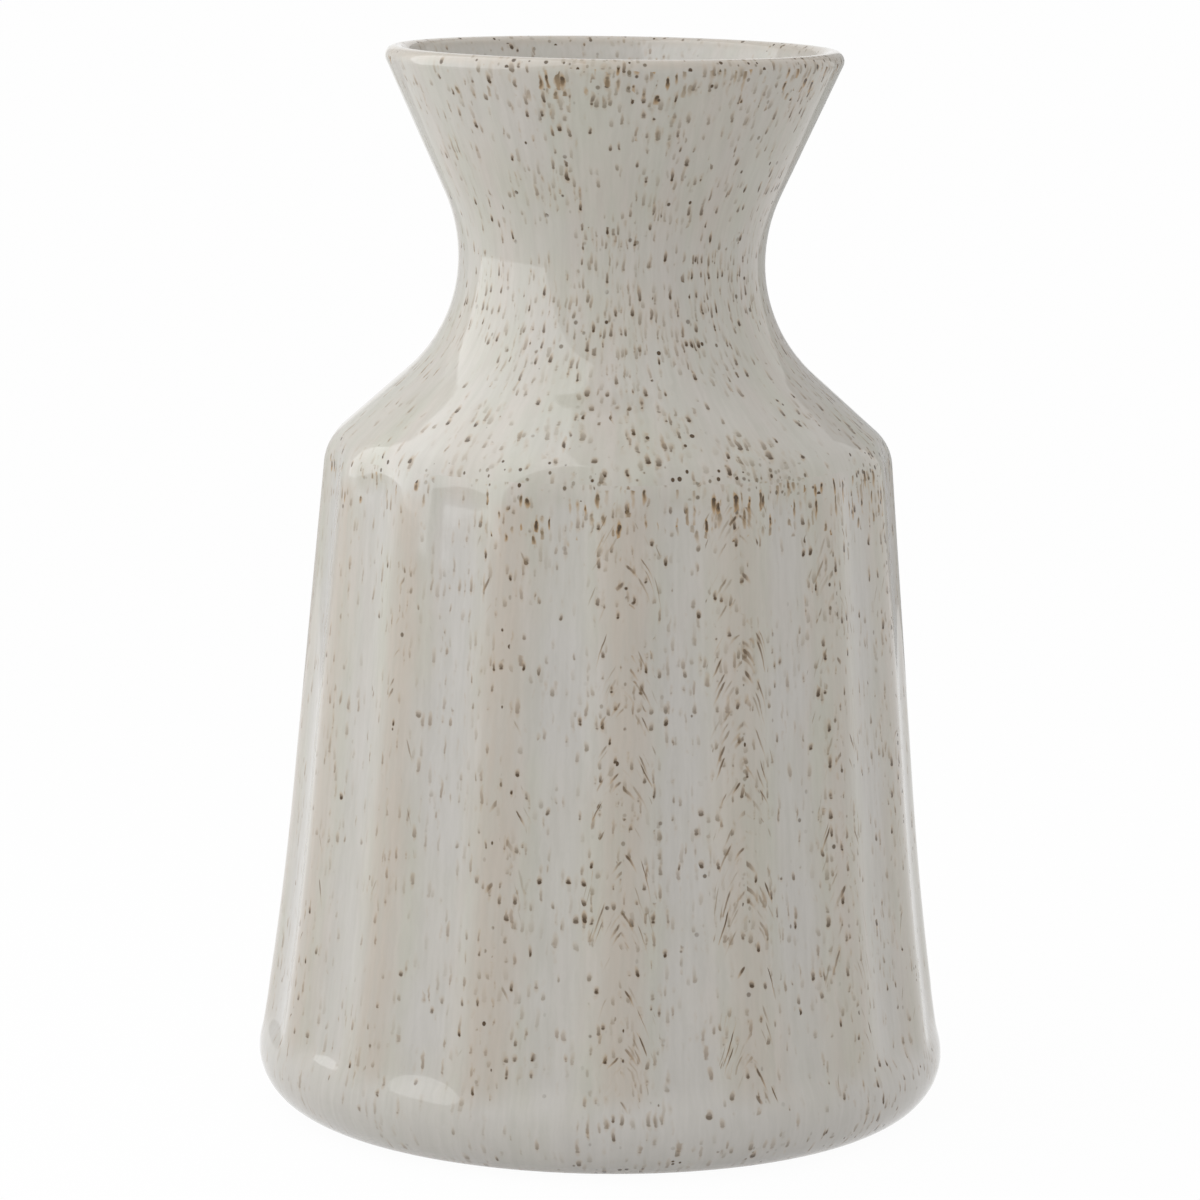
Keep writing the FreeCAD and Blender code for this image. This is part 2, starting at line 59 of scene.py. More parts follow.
@dataclass(frozen=True)
class VaseSizes:
    """Sizes of the glazed surface, in metres and radians, as the solids have them."""

    shoulder_radius: float = 66.5 * MM
    shoulder_height: float = 157.6 * MM
    shoulder_angle: float = math.radians(48.3)
    shoulder_rounding: float = 12 * MM
    wall_lean: float = math.radians(5)
    bell_height: float = 75 * MM
    bell_radius: float = 835 * MM
    flute_count: int = 16
    flute_depth: float = 1.8 * MM
    ridge_rounding: float = 17 * MM
    foot_rounding: float = 12.5 * MM
    foot_proud: float = 0.15 * MM
    foot_end: float = math.radians(62)
    waist_radius: float = 35.9 * MM
    waist_rounding: float = 35.4 * MM
    flare_rounding: float = 37.5 * MM
    flare_angle: float = math.radians(24.5)
    rim_rise: float = 49.26 * MM
    lip_rounding: float = 2.5 * MM
    lip_fullness: float = 0.96
    wall_thickness: float = 4 * MM
    glaze_thickness: float = 0.5 * MM
    glaze_line: float = 1 * MM
    floor_level: float = 8.5 * MM
    floor_rounding: float = 13.5 * MM

    @property
    def waist_level(self) -> float:
        """Work out how high the narrowest place of the neck is.

        Returns:
            The height.
        """
        turn = self.shoulder_angle
        drop = (self.shoulder_radius - self.waist_radius) * math.cos(turn)
        return self.shoulder_height + (drop + self.waist_rounding * (1 - math.cos(turn))) / math.sin(turn)

    @property
    def rim_level(self) -> float:
        """Height of the crown of the lip."""
        return self.waist_level + self.rim_rise

    @property
    def pitch(self) -> float:
        """Angle from one ridge to the next."""
        return FULL_TURN / self.flute_count

    @property
    def foot_slope(self) -> float:
        """How far the wall swings out for each metre down, just above the foot."""
        return math.tan(self.wall_lean) + (self.bell_height - self.foot_rounding) / self.bell_radius

    @property
    def foot_middle(self) -> Vector:
        """Find the centre of the foot's roll.

        Returns:
            The centre, as a radius and a height.
        """
        slope = self.foot_slope
        touch_level = self.foot_rounding * (1 + slope / math.sqrt(1 + slope**2))
        across = self.crest(touch_level) + self.foot_proud - self.foot_rounding / math.sqrt(1 + slope**2)
        return Vector((across, self.foot_rounding))

    @property
    def shoulder_middle(self) -> Vector:
        """Find the centre of the rounding between the ridge crests and the shoulder cone.

        Returns:
            The centre, as a radius and a height.
        """
        wall = Vector((math.cos(self.wall_lean), math.sin(self.wall_lean)))
        cone = Vector((math.cos(self.shoulder_angle), math.sin(self.shoulder_angle)))
        corner = Vector((self.shoulder_radius, self.shoulder_height))
        return corner - (wall + cone) * (self.shoulder_rounding / (1 + wall.dot(cone)))

    def crest(self, level: float) -> float:
        """Distance of the ridge crests from the axis at a height."""
        straight = self.shoulder_radius + (self.shoulder_height - level) * math.tan(self.wall_lean)
        return straight + max(0.0, self.bell_height - level) ** 2 / (2 * self.bell_radius)

    def valley(self, level: float) -> float:
        """Distance of the flute bottoms from the axis at a height."""
        return self.crest(level) * (1 - self.flute_depth / self.shoulder_radius)

    def flute_share(self, angle: float) -> float:
        """Work out how deep the flutes are at an angle round the axis.

        Args:
            angle: The angle in radians; ridges stand at every whole pitch from zero.

        Returns:
            The depth as a share of the crest's radius.
        """
        half = self.pitch / 2
        ridge = self.ridge_rounding / self.shoulder_radius
        bottom = 1 - self.flute_depth / self.shoulder_radius
        reach = 1 - ridge
        flute = ridge**2 - bottom**2 - reach**2 + 2 * reach * bottom * math.cos(half)
        flute /= 2 * (bottom - reach * math.cos(half) - ridge)
        middle = bottom + flute
        turn = abs((angle + half) % self.pitch - half)
        leave = math.atan2(middle * math.sin(half), middle * math.cos(half) - reach)
        edge = math.atan2(ridge * math.sin(leave), reach + ridge * math.cos(leave))
        if turn < edge:
            return 1 - reach * math.cos(turn) - math.sqrt(ridge**2 - (reach * math.sin(turn)) ** 2)
        side = half - turn
        return 1 - middle * math.cos(side) + math.sqrt(flute**2 - (middle * math.sin(side)) ** 2)

    def flute_depth_at(self, across: float, level: float, angle: float) -> float:
        """Work out how far the glazed surface lies under the ridge crests.

        Args:
            across: The distance from the axis of a point of the crests' surface.
            level: Its height.
            angle: Its angle round the axis.

        Returns:
            The depth in metres, fading into the shoulder's edge and the foot's roll.
        """
        depth = self.flute_share(angle) * self.crest(level)
        middle = self.shoulder_middle
        rise = math.atan2(level - middle.y, across - middle.x)
        if rise > self.wall_lean:
            span = math.sin(self.shoulder_angle - self.wall_lean)
            depth *= max(0.0, math.sin(self.shoulder_angle - rise)) / span
        roll = self.foot_middle
        if level < self.foot_rounding * (1 + math.sin(self.foot_end)):
            reach = roll.x + math.sqrt(max(0.0, self.foot_rounding**2 - (level - roll.y) ** 2))
            depth = min(depth, max(0.0, across - reach))
        return depth


@dataclass(frozen=True)
class Corner:
    """A corner of a profile, as a radius and a height, with its rounding and the rounding's steps."""

    across: float
    level: float
    rounding: float = 0.0
    steps: int = 1

    @property
    def place(self) -> Vector:
        """The corner's place in the profile's plane."""
        return Vector((self.across, self.level))


def neck_corners(sizes: VaseSizes, inset: float) -> list[Corner]:
    """List the corners of the waist, the flare and the lip, up to the crown.

    Args:
        sizes: The vase's sizes.
        inset: How far the surface lies below the outer glazed one.

    Returns:
        The corners from the shoulder cone's end upwards.
    """
    waist = sizes.waist_rounding + inset
    flare = sizes.flare_rounding + inset
    across = sizes.waist_radius - inset
    fall = waist * math.tan(sizes.shoulder_angle / 2)
    rise = flare * math.tan(sizes.flare_angle / 2)
    reach = across + (sizes.rim_rise - rise) * math.tan(sizes.flare_angle)
    outer_rise = sizes.flare_rounding * math.tan(sizes.flare_angle / 2)
    outer_reach = sizes.waist_radius + (sizes.rim_rise - outer_rise) * math.tan(sizes.flare_angle)
    crown = outer_reach - sizes.lip_rounding * math.tan(math.pi / 4 + sizes.flare_angle / 2)
    return [
        Corner(across, sizes.waist_level - fall, waist, 16),
        Corner(across, sizes.waist_level + rise, flare, 8),
        Corner(reach, sizes.rim_level, sizes.lip_rounding * sizes.lip_fullness, 12),
        Corner(crown, sizes.rim_level),
    ]


class Lathe:
    """Draws a profile with the extrude and spin operators and turns it round the vase's axis."""

    def __init__(self, name: str, start: Vector) -> None:
        """Set down the first point of a profile.

        Args:
            name: The name of the new piece.
            start: The first point, as a radius and a height.
        """
        bpy.ops.object.select_all(action="DESELECT")
        bpy.ops.mesh.primitive_plane_add(size=MM)
        self.piece = bpy.context.object
        self.piece.name = name
        self.piece.data.name = name
        self.start, self.tip = start.copy(), start.copy()
        bpy.ops.object.mode_set(mode="EDIT")
        bpy.ops.mesh.select_all(action="SELECT")
        bpy.ops.mesh.merge(type="CENTER")
        bpy.ops.transform.translate(value=(start.x, 0, start.y))

    def run(self, end: Vector, spacing: float) -> None:
        """Extrude the last point in a straight run.

        Args:
            end: Where the run ends, as a radius and a height.
            spacing: The longest edge of the run.
        """
        stretch = end - self.tip
        steps = max(1, math.ceil(stretch.length / spacing))
        move = {"value": (stretch.x / steps, 0, stretch.y / steps)}
        for _ in range(steps):
            bpy.ops.mesh.extrude_vertices_move(TRANSFORM_OT_translate=move)
        self.tip = end.copy()

    def turn(self, centre: Vector, angle: float, steps: int) -> None:
        """Spin the last point along an arc.

        Args:
            centre: The arc's centre, as a radius and a height.
            angle: How far the arc turns, anticlockwise in the profile's plane.
            steps: The number of edges of the arc.
        """
        bpy.ops.mesh.spin(steps=steps, angle=angle, center=(centre.x, 0, centre.y), axis=(0, 1, 0))
        self.tip = centre + Matrix.Rotation(angle, 2) @ (self.tip - centre)

    def trace(self, corners: list[Corner], spacing: float) -> None:
        """Draw straight runs through corners, each rounded as it says, up to the last one.

        Args:
            corners: The corners after the last point; the last one ends the profile.
            spacing: The longest edge of a straight run.
        """
        for corner, following in zip(corners, corners[1:]):
            arriving = (corner.place - self.tip).normalized()
            leaving = (following.place - corner.place).normalized()
            angle = math.atan2(arriving.cross(leaving), arriving.dot(leaving))
            if not corner.rounding:
                self.run(corner.place, spacing)
                continue
            tangent = corner.rounding * math.tan(abs(angle) / 2)
            self.run(corner.place - arriving * tangent, spacing)
            side = Vector((-arriving.y, arriving.x)) * math.copysign(corner.rounding, angle)
            self.turn(self.tip + side, angle, corner.steps)
        self.run(corners[-1].place, spacing)

    def measure_run(self) -> None:
        """Store at each point of the profile how far along it the point lies."""
        profile = bmesh.from_edit_mesh(self.piece.data)
        layer = profile.verts.layers.float.new("run")
        ends = [point for point in profile.verts if len(point.link_edges) == 1]
        point = min(ends, key=lambda end: (end.co.xz - self.start).length)
        edge, run = None, 0.0
        while point is not None:
            point[layer] = run
            edge = next((other for other in point.link_edges if other != edge), None)
            run += edge.calc_length() if edge else 0.0
            point = edge.other_vert(point) if edge else None
        bmesh.update_edit_mesh(self.piece.data)

    def spin_round(self, steps: int, inwards: bool = False) -> Piece:
        """Turn the profile once round the axis.

        Args:
            steps: The number of edges round the piece.
            inwards: Whether the surface faces the axis.

        Returns:
            The piece, active and in object mode, with its seams and poles closed and its object
            at the origin.
        """
        self.measure_run()
        bpy.ops.mesh.select_all(action="SELECT")
        bpy.ops.mesh.spin(steps=steps, angle=FULL_TURN, center=(0, 0, 0), axis=(0, 0, 1))
        bpy.ops.mesh.select_all(action="SELECT")
        bpy.ops.mesh.remove_doubles(threshold=HAIR / 10)
        bpy.ops.mesh.normals_make_consistent(inside=False)
        wall = bmesh.from_edit_mesh(self.piece.data).faces
        outwards = sum(face.normal.dot(face.calc_center_median() * Vector((1, 1, 0))) for face in wall)
        if (outwards < 0) != inwards:
            bpy.ops.mesh.flip_normals()
        bpy.ops.object.mode_set(mode="OBJECT")
        bpy.ops.object.select_all(action="DESELECT")
        self.piece.select_set(True)
        bpy.context.view_layer.objects.active = self.piece
        bpy.ops.object.transform_apply(location=True, rotation=True, scale=True)
        return self.piece


def apply_modifier(piece: Piece, kind: str, **settings: object) -> None:
    """Add a modifier to the active piece and apply it.

    Args:
        piece: The piece.
        kind: The modifier's type.
        settings: Its values by name.
    """
    modifier = piece.modifiers.new(kind.lower(), kind)
    for name, value in settings.items():
        setattr(modifier, name, value)
    bpy.ops.object.modifier_apply(modifier=modifier.name)


def thicken(piece: Piece, thickness: float) -> None:
    """Make the active surface a closed shell that lies behind it."""
    apply_modifier(piece, "SOLIDIFY", thickness=thickness, offset=-1.0, use_even_offset=True)


def weigh(piece: Piece, name: str, weights: list[float]) -> None:
    """Give a piece a vertex group.

    Args:
        piece: The piece.
        name: The group's name.
        weights: A weight for each vertex, up to one.
    """
    group = piece.vertex_groups.new(name=name)
    for index, weight in enumerate(weights):
        if weight > 0:
            group.add([index], min(weight, 1.0), "REPLACE")


def mark_flow(piece: Piece, radius: float) -> None:
    """Store how the glaze ran: the direction from the axis, and the way run along the profile.

    Args:
        piece: A turned surface whose vertices still hold their run along the profile.
        radius: Within this distance from the axis the direction shrinks towards nothing.
    """
    runs = [0.0] * len(piece.data.vertices)
    piece.data.attributes["run"].data.foreach_get("value", runs)
    values = []
    for vertex, run in zip(piece.data.vertices, runs):
        across = max(math.hypot(vertex.co.x, vertex.co.y), radius)
        values += [vertex.co.x / across, vertex.co.y / across, run]
    piece.data.attributes.new("flow", "FLOAT_VECTOR", "POINT").data.foreach_set("vector", values)
    piece.data.attributes.remove(piece.data.attributes["run"])


@dataclass(frozen=True)
class OuterCoat:
    """The coat of glaze outside: rolled foot, fluted wall, shoulder, neck and outer half of the lip."""

    sizes: VaseSizes
    steps_per_flute: int = 16
    wall_spacing: float = 3.5 * MM
    foot_spacing: float = 0.9 * MM
    foot_rows: int = 10
    roll_steps: int = 24
    halvings: int = 40
    runout_softening: int = 8
    runout_reach: float = 26 * MM
    edge_rounding: float = 0.35
    edge_reach: float = 0.9

    def build(self) -> Piece:
        """Model the coat as a closed shell on the clay.

        Returns:
            The coat's object.
        """
        coat = self.turned()
        mark_flow(coat, MM)
        self.flute(coat)
        thicken(coat, self.sizes.glaze_thickness)
        self.soften_edge(coat)
        bpy.ops.object.shade_smooth_by_angle(angle=SHARP)
        return coat

    def turned(self) -> Piece:
        """Turn the coat as it would be without flutes, at the crests of its ridges.

        Returns:
            The coat's face.
        """
        sizes = self.sizes
        middle = sizes.foot_middle
        low = math.asin(sizes.glaze_line / sizes.foot_rounding - 1)
        high = self.roll_top()
        start = middle + Vector((math.cos(low), math.sin(low))) * sizes.foot_rounding
        lathe = Lathe("outer_glaze_coat", start)
        lathe.turn(middle, high - low, self.roll_steps)
        levels = [lathe.tip.y + self.foot_spacing * row for row in range(1, self.foot_rows + 1)]
        rest = sizes.bell_height - levels[-1]
        rows = math.ceil(rest / self.wall_spacing)
        levels += [levels[-1] + rest * row / rows for row in range(1, rows + 1)]
        for level in levels:
            lathe.run(Vector((sizes.crest(level), level)), self.wall_spacing * 2)
        shoulder = Corner(sizes.shoulder_radius, sizes.shoulder_height, sizes.shoulder_rounding, 16)
        lathe.trace([shoulder, *neck_corners(sizes, 0.0)], self.wall_spacing)
        return lathe.spin_round(sizes.flute_count * self.steps_per_flute)

    def roll_top(self) -> float:
        """Find where the foot's roll meets the ridge crests, by halving.

        Returns:
            The turn of the roll from level, in radians.
        """
        sizes = self.sizes
        low, high = math.atan(sizes.foot_slope), sizes.foot_end
        for _ in range(self.halvings):
            turn = (low + high) / 2
            level = sizes.foot_rounding * (1 + math.sin(turn))
            proud = sizes.foot_middle.x + sizes.foot_rounding * math.cos(turn) > sizes.crest(level)
            low, high = (turn, high) if proud else (low, turn)
        return low

    def flute(self, coat: Piece) -> None:
        """Press the flutes into the turned coat and soften where they run out in the foot.

        Args:
            coat: The coat's face.
        """
        sizes = self.sizes
        deepest = sizes.flute_share(sizes.pitch / 2) * sizes.crest(0.0)
        depths, softness = [], []
        for vertex in coat.data.vertices:
            x, y, level = vertex.co
            depths.append(sizes.flute_depth_at(math.hypot(x, y), level, math.atan2(y, x)) / deepest)
            softness.append(1.0 if sizes.foot_rounding < level < self.runout_reach else 0.0)
        weigh(coat, "flutes", depths)
        weigh(coat, "runouts", softness)
        apply_modifier(coat, "DISPLACE", strength=-deepest, mid_level=0.0, vertex_group="flutes")
        smoothing = {"factor": 0.5, "iterations": self.runout_softening}
        apply_modifier(coat, "SMOOTH", vertex_group="runouts", **smoothing)

    def soften_edge(self, coat: Piece) -> None:
        """Round the coat's lower edge, where the glaze was wiped off the foot ring.

        Args:
            coat: The coat's shell.
        """
        bpy.ops.object.mode_set(mode="EDIT")
        bpy.ops.mesh.select_all(action="DESELECT")
        shell = bmesh.from_edit_mesh(coat.data)
        lowest = min(vertex.co.z for vertex in shell.verts)
        for edge in shell.edges:
            ends = [vertex.co.z for vertex in edge.verts]
            level = abs(ends[0] - ends[1]) < HAIR
            edge.select = level and max(ends) < lowest + self.sizes.glaze_thickness * self.edge_reach
        bmesh.update_edit_mesh(coat.data)
        bpy.ops.mesh.bevel(offset=self.sizes.glaze_thickness * self.edge_rounding, segments=2)
        bpy.ops.object.mode_set(mode="OBJECT")


@dataclass(frozen=True)
class LinerCoat:
    """The coat of glaze inside: the inner half of the lip, the neck, the wall and the floor."""

    sizes: VaseSizes
    steps_round: int = 128
    spacing: float = 6 * MM
    floor_reach: float = 50 * MM

    def build(self) -> Piece:
        """Model the coat as a closed shell in the clay.

        Returns:
            The coat's object.
        """
        sizes = self.sizes
        inset = sizes.wall_thickness + 2 * sizes.glaze_thickness
        base, top = sizes.bell_height, sizes.shoulder_height
        low, high = (sizes.valley(level) - inset for level in (base, top))
        lean, slope = (high - low) / (top - base), math.tan(sizes.shoulder_angle)
        cone = sizes.shoulder_radius - inset / math.cos(sizes.shoulder_angle) + slope * top
        edge = (cone - low + lean * base) / (lean + slope)
        floor, shoulder = (low + lean * (level - base) for level in (sizes.floor_level, edge))
        lathe = Lathe("liner_glaze_coat", Vector((0.0, sizes.floor_level)))
        corners = [
            Corner(floor, sizes.floor_level, sizes.floor_rounding, 8),
            Corner(shoulder, edge, sizes.shoulder_rounding, 6),
            *neck_corners(sizes, inset),
        ]
        lathe.trace(corners, self.spacing)
        coat = lathe.spin_round(self.steps_round, inwards=True)
        mark_flow(coat, self.floor_reach)
        thicken(coat, sizes.glaze_thickness)
        bpy.ops.object.shade_smooth_by_angle(angle=SHARP)
        return coat


class Wiring:
    """Adds nodes to a tree and joins them up."""

    def __init__(self, tree: bpy.types.NodeTree) -> None:
        """Keep the tree to work in."""
        self.tree = tree

    def feed(self, socket: Socket, value: Feed) -> None:
        """Link a socket to its source, or set its plain value.

        Args:
            socket: The socket.
            value: Another node's output, or the plain value.
        """
        if isinstance(value, Socket):
            self.tree.links.new(value, socket)
        else:
            socket.default_value = value

    def set(self, node: bpy.types.Node, *feeds: Feed, **values: object) -> bpy.types.Node:
        """Set a node up.

        Args:
            node: The node.
            feeds: What its first sockets take, in order.
            values: Its settings by name, then its sockets by name with each space an underscore.

        Returns:
            The node.
        """
        for name, value in values.items():
            if hasattr(node, name):
                setattr(node, name, value)
            else:
                self.feed(node.inputs[name.replace("_", " ")], value)
        for socket, value in zip(node.inputs, feeds):
            self.feed(socket, value)
        return node

    def add(self, kind: str, *feeds: Feed, **values: object) -> bpy.types.Node:
        """Add a node of a kind and set it up."""
        return self.set(self.tree.nodes.new(kind), *feeds, **values)

    def calc(self, operation: str, *terms: Feed) -> Socket:
        """Work out something with a Math node."""
        return self.add("ShaderNodeMath", *terms, operation=operation).outputs[0]

    def vector(self, operation: str, *terms: Feed) -> Socket:
        """Work out a vector, or the length of one, with a Vector Math node."""
        node = self.add("ShaderNodeVectorMath", *terms, operation=operation)
        return node.outputs["Value" if operation == "LENGTH" else "Vector"]

    def line(self, value: Feed, slope: Feed, start: Feed) -> Socket:
        """Multiply a value by a slope and add a start."""
        return self.calc("MULTIPLY_ADD", value, slope, start)

    def times(self, *factors: Feed) -> Socket:
        """Multiply some values."""
        return reduce(lambda product, factor: self.calc("MULTIPLY", product, factor), factors)

    def most(self, *values: Feed) -> Socket:
        """Give the largest of some values."""
        return reduce(lambda largest, value: self.calc("MAXIMUM", largest, value), values)

    def span(self, value: Feed, low: Feed, high: Feed, start: Feed = 0.0, end: Feed = 1.0) -> Socket:
        """Map a value softly from one range, which may run downwards, to another, and keep it there."""
        feeds = (value, low, high, start, end)
        return self.add("ShaderNodeMapRange", *feeds, interpolation_type="SMOOTHSTEP").outputs[0]

    def blend(self, share: Feed, first: Feed, second: Feed, kind: str = "MIX") -> Socket:
        """Mix two colours.

        Args:
            share: How much of the second colour there is.
            first: The first colour.
            second: The second colour.
            kind: How they mix.

        Returns:
            The mixed colour.
        """
        node = self.add("ShaderNodeMix", share, data_type="RGBA", blend_type=kind)
        self.feed(node.inputs[6], first)
        self.feed(node.inputs[7], second)
        return node.outputs[2]

    def split(self, value: Feed) -> tuple[Socket, ...]:
        """Give the three parts of a vector."""
        return tuple(self.add("ShaderNodeSeparateXYZ", value).outputs)

    def join(self, x: Feed, y: Feed, z: Feed) -> Socket:
        """Make a vector of three parts."""
        return self.add("ShaderNodeCombineXYZ", x, y, z).outputs[0]

    def noise(self, place: Feed, scale: float, detail: float = 2.0) -> Socket:
        """Give soft noise between nought and one, with a number of swells to the metre."""
        return self.add("ShaderNodeTexNoise", Vector=place, Scale=scale, Detail=detail).outputs[0]

    def backdrop(self) -> Socket:
        """Give one for a ray that sees the backdrop, and nought for one that carries light."""
        path = self.add("ShaderNodeLightPath").outputs
        return self.most(path["Is Camera Ray"], path["Is Glossy Ray"], path["Is Transmission Ray"])


class Material(Wiring):
    """A new material, with its shader."""

    def __init__(self, name: str) -> None:
        """Make the material.

        Args:
            name: Its name.
        """
        self.data = bpy.data.materials.new(name)
        self.data.use_nodes = True
        super().__init__(self.data.node_tree)
        self.shader = self.tree.nodes["Principled BSDF"]


class Group(Wiring):
    """A new node group, with its inputs."""

    def __init__(self, name: str, inputs: dict[str, str], outputs: dict[str, str]) -> None:
        """Make the group.

        Args:
            name: Its name.
            inputs: Its inputs, each name with its kind of value.
            outputs: Its outputs in the same way.
        """
        super().__init__(bpy.data.node_groups.new(name, "ShaderNodeTree"))
        for way, sockets in (("INPUT", inputs), ("OUTPUT", outputs)):
            for label, kind in sockets.items():
                self.tree.interface.new_socket(label, in_out=way, socket_type=f"NodeSocket{kind}")
        self.entry = self.add("NodeGroupInput").outputs


@dataclass(frozen=True)
class SpeckLayer:
    """One scatter of iron specks, with the room that each has and its size as shares of that."""

    across: float
    along: float
    width: float
    length: float
    head: float
    strength: float
    seed: float
    stain: float = 0.4


@dataclass(frozen=True)
class GlazeRecipe:
    """The node groups of the glaze, its colours and specks, and how smooth and glossy it is."""

    specks: bpy.types.NodeTree
    ground: bpy.types.NodeTree
    white: Colour = (0.505, 0.482, 0.447, 1.0)
    grey_green: Colour = (0.478, 0.464, 0.395, 1.0)
    pink: Colour = (0.512, 0.468, 0.415, 1.0)
    # Thin-glaze colour, which is also laid on the crests as painted ridge shade.
    thin: Colour = (0.472, 0.420, 0.358, 1.0)
    tan: Colour = (0.380, 0.250, 0.125, 1.0)
    iron: Colour = (0.062, 0.034, 0.011, 1.0)
    olive: Colour = (0.110, 0.080, 0.034, 1.0)
    streaks: SpeckLayer = SpeckLayer(1.6 * MM, 4.0 * MM, 0.40, 0.95, 0.13, 1.15, 3.1, stain=0.55)
    faint: SpeckLayer = SpeckLayer(1.5 * MM, 5.2 * MM, 0.38, 1.00, 0.09, 0.45, 17.7)
    ticks: SpeckLayer = SpeckLayer(2.0 * MM, 3.8 * MM, 0.40, 0.90, 0.17, 0.90, 29.3, stain=0.6)
    dots: SpeckLayer = SpeckLayer(1.7 * MM, 1.7 * MM, 0.37, 0.50, 0.37, 1.45, 41.9)
    drips: SpeckLayer = SpeckLayer(1.6 * MM, 4.8 * MM, 0.36, 1.00, 0.15, 1.50, 53.3, stain=1.6)
    raggedness: float = 1.2 * MM
    bump_height: float = 0.22 * MM
    speck_sink: float = 0.06
    roughness: float = 0.045
    speck_roughness: float = 0.16
    refraction: float = 1.5


Zones = tuple[Feed, Feed, list[tuple[SpeckLayer, Feed, Socket]]]


class SpeckGroup(Group):
    """A scatter of specks, each with a dark head and a tail that fades upwards.

    Its place is in cells, with the flow along Z.
    """

    def __init__(self) -> None:
        """Build the group."""
        super().__init__(
            "glaze_specks",
            {"Place": "Vector", "Density": "Float", "Width": "Float", "Length": "Float", "Head": "Float"},
            {"Speck": "Float", "Halo": "Float", "Tone": "Float"},
        )
        cells = self.add("ShaderNodeTexVoronoi", Vector=self.entry["Place"], Scale=1.0, Randomness=0.85)
        away = self.vector("SUBTRACT", self.entry["Place"], cells.outputs["Position"])
        chance, size, tone = self.split(cells.outputs["Color"])
        rise = self.split(away)[2]
        side = self.vector("LENGTH", self.vector("MULTIPLY", away, LEVEL))
        width = self.times(self.entry["Width"], self.line(size, 0.5, 0.5))
        reach = self.times(self.entry["Length"], self.line(chance, 0.7, 0.35))
        beside = self.calc("POWER", self.calc("DIVIDE", side, width), 2.0)
        part = self.times(self.calc("DIVIDE", rise, reach), 2.0)
        ellipse = self.calc("ADD", beside, self.calc("POWER", self.calc("ABSOLUTE", part), 2.0))
        tail = self.times(self.span(ellipse, 1.1, 0.35), self.span(part, 1.0, -0.6, 0.25, 0.9))
        lower = self.line(reach, 0.32, rise)
        knob = self.calc("ABSOLUTE", self.calc("DIVIDE", lower, self.entry["Head"]))
        head = self.span(self.calc("ADD", beside, self.calc("POWER", knob, 2.0)), 1.15, 0.35)
        there = self.span(self.calc("SUBTRACT", self.entry["Density"], chance), 0.0, 0.06)
        force = self.line(self.calc("POWER", tone, 1.6), 0.78, 0.22)
        shown = self.times(there, force)
        wide = self.line(beside, 0.2, self.times(ellipse, 0.25))
        self.add(
            "NodeGroupOutput", Speck=self.times(self.most(tail, head), shown),
            Halo=self.times(self.span(wide, 1.0, 0.0), shown), Tone=tone,
        )


class GroundGroup(Group):
    """The milky glaze under the specks, whiter where it gathered and under painted light, warmer where thin
    and under painted shade.

    Its flow is in metres, with the way that the glaze ran along Z.
    """

    def __init__(self) -> None:
        """Build the group."""
        super().__init__(
            "glaze_ground",
            {
                "Flow": "Vector", "Place": "Vector", "Thin": "Float", "Pooled": "Float",
                "White": "Color", "Grey Green": "Color", "Pink": "Color", "Thin Colour": "Color",
            },
            {"Color": "Color", "Height": "Float"},
        )
        bands, hairs, runs = (
            self.noise(self.vector("MULTIPLY", self.entry["Flow"], (across, across, along)), 1.0, detail)
            for across, along, detail in ((170.0, 32.0, 3.0), (1100.0, 75.0, 2.0), (430.0, 60.0, 2.0))
        )
        clouds = self.noise(self.entry["Place"], 38.0)
        colour = self.blend(self.span(bands, 0.28, 0.72), self.entry["Grey Green"], self.entry["Pink"])
        pale = self.calc("ADD", self.span(clouds, 0.40, 0.68, 0.1, 0.55), self.entry["Pooled"])
        pale.node.use_clamp = True
        colour = self.blend(pale, colour, self.entry["White"])
        uneven = self.times(self.entry["Thin"], self.span(runs, 0.3, 0.6, 0.55, 1.0))
        colour = self.blend(uneven, colour, self.entry["Thin Colour"])
        fine = self.span(hairs, 0.3, 0.7, -0.022, 0.022)
        streak = self.calc("ADD", fine, self.span(runs, 0.3, 0.7, 0.975, 1.025))
        shade = self.join(streak, streak, self.line(streak, 1.15, -0.15))
        colour = self.blend(1.0, colour, shade, "MULTIPLY")
        swell = self.noise(self.entry["Place"], 55.0, 1.0)
        peel = self.noise(self.entry["Place"], 420.0, 1.0)
        self.add("NodeGroupOutput", Color=colour, Height=self.line(peel, 0.035, swell))


